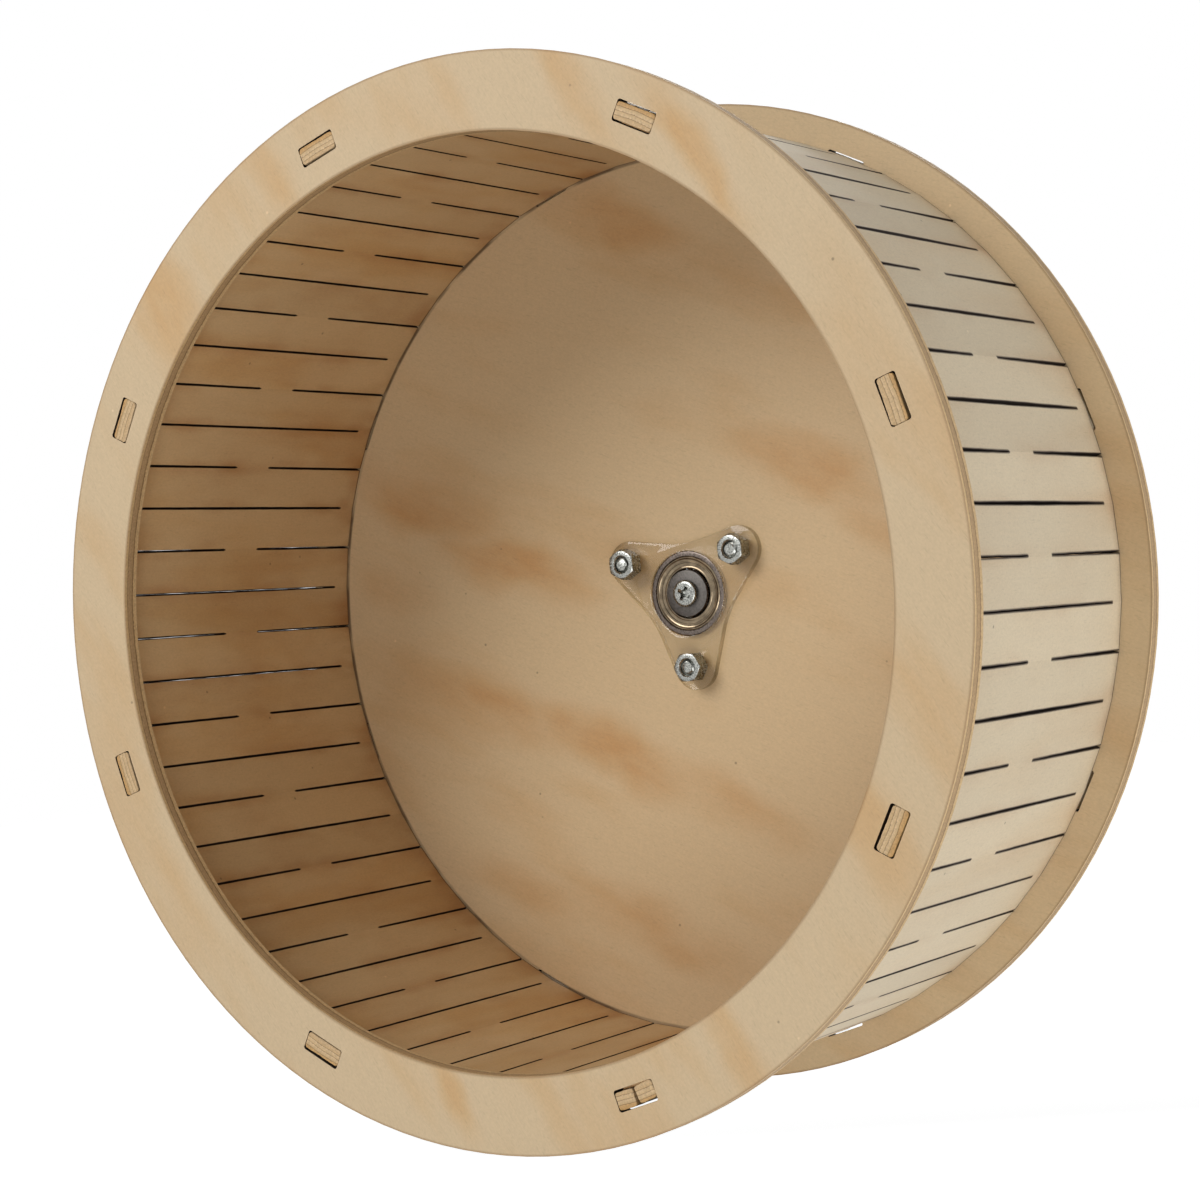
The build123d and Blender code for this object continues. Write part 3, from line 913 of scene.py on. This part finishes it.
def plateOutline(shape):
    lobe = Vector((shape["boltRadius"], 0))
    waist = planeVector(shape["waistRadius"], math.pi / 3)
    gap = lobe - waist
    heading = math.atan2(gap.y, gap.x) + math.asin(shape["lobeRadius"] / gap.length)
    run = math.sqrt(gap.length ** 2 - shape["lobeRadius"] ** 2)
    ahead = planeVector(1, heading)
    touch = waist + ahead * run
    touchAngle = math.atan2(touch.y - lobe.y, touch.x - lobe.x)
    points = arcPoints(lobe, shape["lobeRadius"], -touchAngle, touchAngle, 28)
    # Round off the waist between this lobe and the next
    axis = waist.normalized()
    half = math.acos(max(-1, min(1, -ahead.dot(axis))))
    bend = math.pi / 2 - half if half < math.pi / 2 else half - math.pi / 2
    tangentRun = shape["waistFillet"] * math.tan(bend)
    start = waist + ahead * tangentRun
    mirrored = ahead - 2 * (ahead - axis * ahead.dot(axis))
    end = waist + mirrored * tangentRun
    side = 1 if ahead.dot(axis) > 0 else -1
    centre = waist + axis * side * shape["waistFillet"] / math.cos(bend)
    first = math.atan2(start.y - centre.y, start.x - centre.x)
    last = math.atan2(end.y - centre.y, end.x - centre.x)
    while last - first > math.pi:
        last -= math.tau
    while last - first < -math.pi:
        last += math.tau
    points += arcPoints(centre, shape["waistFillet"], first, last, 14)
    outline = []
    for k in range(3):
        turn = Matrix.Rotation(math.tau * k / 3, 2)
        outline += [turn @ point for point in points]
    return outline


def plateMesh(name, shape, yFront, yRear):
    curve = bpy.data.curves.new(name, "CURVE")
    curve.dimensions = "2D"
    curve.fill_mode = "BOTH"
    rings = [plateOutline(shape), arcPoints(Vector((0, 0)), shape["bore"], 0, math.tau, 72)[:-1]]
    for k in range(3):
        centre = planeVector(shape["boltRadius"], math.tau * k / 3)
        rings.append(arcPoints(centre, shape["hole"], 0, math.tau, 28)[:-1])
    for ring in rings:
        spline = curve.splines.new("POLY")
        spline.points.add(len(ring) - 1)
        for point, target in zip(spline.points, ring):
            point.co = (target.x * mm, target.y * mm, 0, 1)
        spline.use_cyclic_u = True
    bevel = shape["bevel"] * mm
    curve.extrude = (yRear - yFront) / 2 * mm - bevel
    curve.bevel_depth = bevel
    curve.bevel_resolution = 1
    curve.offset = -bevel
    mesh = plainMesh(name, newPiece(name + "Curve", curve))
    turn = math.radians(shape["turn"])
    upright = Matrix((
        (math.cos(turn), -math.sin(turn), 0, 0),
        (0, 0, -1, (yFront + yRear) / 2 * mm),
        (math.sin(turn), math.cos(turn), 0, 0),
        (0, 0, 0, 1),
    ))
    mesh.transform(upright)
    closeUp(mesh, 40)
    return mesh


for name, nodeName, yFront, yRear in plateShape["places"]:
    plate = plateMesh(name, plateShape, yFront, yRear)
    finishPiece(name, plate, acrylicMaterial, "wheel", (nodeName,))
print("clear plates cut")


# Ball bearing: ground rings with rounded corners, and pressed shields with a rolled bead at the rim
bearingShape = {
    "front": -15.2,
    "rear": -8.2,
    "outer": 11.0,
    "land": 8.95,
    "step": 9.6,
    "stepDepth": 0.65,
    "bore": 4.0,
    "innerLand": 6.05,
    "groove": 2.06,
    "pitch": 7.5,
    "round": 0.35,
    "shieldInner": 6.32,
    "shieldThick": 0.25,
}


def roundedCorner(r, y, size, fromAngle):
    # Quarter round of a turned corner, centred at (r, y)
    return [(
        r + size * math.cos(math.radians(fromAngle + 30 * k)),
        y + size * math.sin(math.radians(fromAngle + 30 * k))) for k in range(4)]


def makeBearing(shape):
    front, rear, size = shape["front"], shape["rear"], shape["round"]
    middle = (front + rear) / 2

    def grooveArc(sign, land):
        # Points of the ball groove, cut into the land of a ring
        reach = math.sqrt(shape["groove"] ** 2 - (land - shape["pitch"]) ** 2)
        limit = math.atan2(reach, abs(land - shape["pitch"]))
        points = []
        for k in range(9):
            angle = limit * (1 - 2 * k / 8) * sign
            r = shape["pitch"] + math.copysign(shape["groove"] * math.cos(angle), land - shape["pitch"])
            points.append((r, middle + shape["groove"] * math.sin(angle)))
        return points

    outerRing = roundedCorner(shape["outer"] - size, front + size, size, 270)
    outerRing += roundedCorner(shape["outer"] - size, rear - size, size, 0)
    outerRing += [
        (shape["step"] + 0.12, rear), (shape["step"], rear - 0.12),
        (shape["step"], rear - shape["stepDepth"]), (shape["land"], rear - shape["stepDepth"])]
    outerRing += grooveArc(1, shape["land"])
    outerRing += [
        (shape["land"], front + shape["stepDepth"]), (shape["step"], front + shape["stepDepth"]),
        (shape["step"], front + 0.12), (shape["step"] + 0.12, front)]
    innerRing = [
        (shape["innerLand"] - 0.1, front), (shape["innerLand"], front + 0.1)]
    innerRing += grooveArc(-1, shape["innerLand"])
    innerRing += [
        (shape["innerLand"], rear - 0.1), (shape["innerLand"] - 0.1, rear),
        (shape["bore"] + 0.25, rear), (shape["bore"], rear - 0.25),
        (shape["bore"], front + 0.25), (shape["bore"] + 0.25, front)]
    for name, nodeName, profile, body in (
        ("bearingOuterRing", "bearing_outer_ring", outerRing, "wheel"),
        ("bearingInnerRing", "bearing_inner_ring", innerRing, "axle"),
    ):
        mesh = lathe(name, profile, 96)
        finishPiece(name, mesh, metals["groundBearingSteelPaintedShade"], body, (nodeName,))

    thick = shape["shieldThick"]
    outside = [  # radius, depth below the bearing's face
        (9.58, 0.42), (9.50, 0.18), (9.32, 0.08), (9.12, 0.10), (8.96, 0.28), (8.70, 0.42),
        (8.36, 0.44), (8.24, 0.30), (8.00, 0.28), (7.88, 0.42), (7.10, 0.46), (6.92, 0.36),
        (6.60, 0.36), (6.46, 0.46), (shape["shieldInner"], 0.56)]
    for name, nodeName, y, sign in (
        ("bearingShieldFront", "bearing_front_shield", front, 1),
        ("bearingShieldRear", "bearing_rear_shield", rear, -1),
    ):
        profile = [(r, y + sign * d) for r, d in outside]
        profile += [(r, y + sign * (d + thick)) for r, d in reversed(outside)]
        mesh = lathe(name, profile, 96)
        finishPiece(name, mesh, metals["pressedShieldSteelPaintedReflection"], "wheel", (nodeName,))


makeBearing(bearingShape)
print("bearing turned")


# Screws, bolts and nuts
fastenerShape = {
    "boltTurns": [31.2, 151.2, 271.2],
    "nutTurns": [28.8, 28.8, -1.2],  # how the hexagons stand
    "boltRadius": 19.0,
    "nutHalf": 3.5,
    "nutFront": -19.9,
    "nutRear": -15.7,
    "nutBore": 2.05,
    "boltEnd": -19.72,
    "headSeat": -7.7,
    "headTop": -5.1,
    "headRadius": 4.0,
    "shank": 1.96,
    "thread": 2.0,
    "pitch": 0.7,
    "recess": 2.15,
}


def hexRule(half, limit):
    # Radius of a hexagon's side at an angle, turned down to a circle
    def rule(angle):
        within = (angle + 30) % 60 - 30
        return min(half / math.cos(math.radians(within)), limit)
    return rule


def nutMesh(name, half, front, rear, bore):
    # Hexagon with its corners turned down to the free face, a countersink and the first turns of its thread
    slope = math.tan(math.radians(60))
    profile = [(hexRule(half, half * 0.985), front)]
    for depth in (0.04, 0.10, 0.16, 0.22, 0.28):
        profile.append((hexRule(half, half * 0.995 + depth * slope), front + depth))
    profile += [
        (hexRule(half, half * 2), front + 0.36), (hexRule(half, half * 2), rear - 0.10),
        (hexRule(half, half * 1.12), rear), (bore, rear)]
    y = rear - 0.35
    while y > front + 0.75:
        profile += [(bore, y), (bore + 0.12, y - 0.17)]
        y -= 0.35
    profile += [(bore, front + 0.42), (bore + 0.32, front + 0.05), (bore + 0.40, front)]
    return lathe(name, profile, 72)


def threadMesh(name, start, end, radius, pitch, tip):
    # Rolled thread: rings whose radius follows the helix, closed at both ends
    segments = 24
    count = max(8, round((end - start) / pitch * 5))
    rings = []
    for k in range(count + 1):
        y = start + (end - start) * k / count
        taper = (1 - min(1.0, (end - y) / tip)) * 0.45
        phases = [(y / pitch + i / segments) % 1 for i in range(segments)]
        depths = [0.36 * abs(2 * phase - 1) ** 0.8 + taper for phase in phases]
        rings.append([
            onCircle(radius - depth, 360 * i / segments, y) for i, depth in enumerate(depths)])
    return skinRings(name, rings, smoothBelow=50)


def wedgeMesh(top, bottom, halfLong, halfLongLow, halfWide, halfWideLow, turn):
    # Tapered blade that cuts one arm pair of a cross recess, from top down to bottom along y
    turned = Matrix.Rotation(math.radians(turn), 3, "Y")
    return skinRings("blade", [
        [turned @ Vector((sx * along, y, sz * wide)) for sx, sz in ((-1, -1), (1, -1), (1, 1), (-1, 1))]
        for y, along, wide in ((top, halfLong, halfWide), (bottom, halfLongLow, halfWideLow))])


def carve(mesh, cutters):
    carrier = newPiece("carveBlank", mesh)
    tools = [newPiece("carveTool", cutter) for cutter in cutters]
    for tool in tools:
        cutting = carrier.modifiers.new("cut", "BOOLEAN")
        cutting.object = tool
        cutting.operation = "DIFFERENCE"
        cutting.solver = "EXACT"
    result = plainMesh("carved", carrier)
    for tool in tools:
        bpy.data.objects.remove(tool)
    closeUp(result)
    return result


def crossRecess(top, depth, reach, turn, sign):
    # Three cutters: two crossing blades and a shallow well where they meet
    bottom = top + sign * depth
    above = top - sign * 0.6
    blade = (reach * 1.12, reach * 0.42, 0.58, 0.30)
    well = (reach * 0.58, reach * 0.30) * 2
    return [
        wedgeMesh(above, bottom, *blade, turn),
        wedgeMesh(above, bottom, *blade, turn + 90),
        wedgeMesh(above, bottom - sign * depth * 0.25, *well, turn + 45),
    ]


def makeFasteners(shape):
    zinc = metals["brightZincPlate"]
    spots = []
    for turn, nutTurn in zip(shape["boltTurns"], shape["nutTurns"]):
        spots.append((onCircle(shape["boltRadius"], turn), turn + nutTurn))
    nut = nutMesh("hubNut", shape["nutHalf"], shape["nutFront"], shape["nutRear"], shape["nutBore"])
    # Bolt: threaded end with a chamfer, plain length through the sheets and a domed cross-recess head
    top, seat, inNut = shape["headTop"], shape["headSeat"], shape["nutRear"] - 0.1
    radius, shank = shape["headRadius"], shape["shank"]
    head = lathe("boltHead", [
        (0.0, top), (1.4, top - 0.08), (2.4, top - 0.34), (3.2, top - 0.82), (3.75, top - 1.45),
        (radius, top - 1.9), (radius, seat + 0.12), (radius - 0.12, seat), (shank, seat),
        (shank, inNut), (0.0, inNut)], 64)
    head = carve(head, crossRecess(top, 1.7, shape["recess"], 20, -1))
    threaded = threadMesh(
        "boltThread", -shape["nutRear"] - 0.3, -shape["boltEnd"], shape["thread"], shape["pitch"], 0.45)
    threaded.transform(Matrix.Scale(-1, 4, (0, 1, 0)))
    bolt = joinMeshes("hubBolt", [head, threaded])
    closeUp(bolt)
    for name, part, kind in (("hubNuts", nut, "hub_nut_"), ("hubBolts", bolt, "hub_bolt_")):
        nodeNames = [kind + str(k + 1) for k in range(3)]
        finishPiece(name, spread(name, part, spots, zinc), zinc, "wheel", nodeNames)


makeFasteners(fastenerShape)
print("hub bolts and nuts made")


# Axle: cross-recess screw and worn washer; the lock nut keeps its CAD shape
axleShape = {
    "crown": -17.3,
    "seat": -15.7,
    "headRadius": 3.5,
    "shank": 1.75,
    "washerRadius": 6.0,
    "washerBore": 2.15,
    "washerFront": -15.7,
    "washerRear": -15.2,
    "threadEnd": 15.0,
    "thread": 2.0,
    "pitch": 0.7,
    "recess": 2.15,
    "recessTurn": 32,
}


def makeAxle(shape):
    zinc = metals["brightZincPlate"]
    crown, seat, radius, shank = (shape[key] for key in ("crown", "seat", "headRadius", "shank"))
    blank = lathe("axleScrewHead", [
        (0.0, crown), (1.6, crown + 0.03), (2.6, crown + 0.06), (3.1, crown + 0.14), (3.35, crown + 0.32),
        (3.46, crown + 0.58), (radius, crown + 0.85), (radius, seat - 0.1), (radius - 0.1, seat),
        (shank, seat), (shank, -0.1), (0.0, -0.1)], 64)
    head = carve(blank, crossRecess(crown, 1.3, shape["recess"], shape["recessTurn"], 1))
    thread = threadMesh("axleThread", -0.05, shape["threadEnd"], shape["thread"], shape["pitch"], 0.6)
    screw = joinMeshes("axleScrew", [head, thread])
    closeUp(screw)
    finishPiece("axleScrew", screw, zinc, "axle", ("axle_screw",))

    r, bore, front, rear = (shape[key] for key in ("washerRadius", "washerBore", "washerFront", "washerRear"))
    washer = lathe("axleWasher", [
        (bore, front), (r - 0.16, front), (r - 0.04, front + 0.06), (r, front + 0.18),
        (r, rear - 0.06), (r - 0.06, rear), (bore, rear)], 72)
    worn = metals["blackenedWasherSteel"]
    finishPiece("axleWasher", washer, worn, "axle", ("axle_washer",))


makeAxle(axleShape)
print("axle made")


# CAD nodes that keep their shape
carriedOver = {
    "front_ring": ringMaterial,
    "back_disc": discMaterial,
    "axle_sleeve": metals["turnedSleeveSteel"],
    "axle_spacer": plastics["mouldedNaturalNylon"],
    "axle_lock_nut": metals["brightZincPlate"],
    "bearing_cage": plastics["mouldedCageNylon"],
}
for k in range(7):
    carriedOver[f"bearing_ball_{k + 1}"] = metals["polishedBallSteel"]
for nodeName, material in carriedOver.items():
    for slot in nodes[nodeName].material_slots:
        slot.material = material
print("CAD nodes dressed")
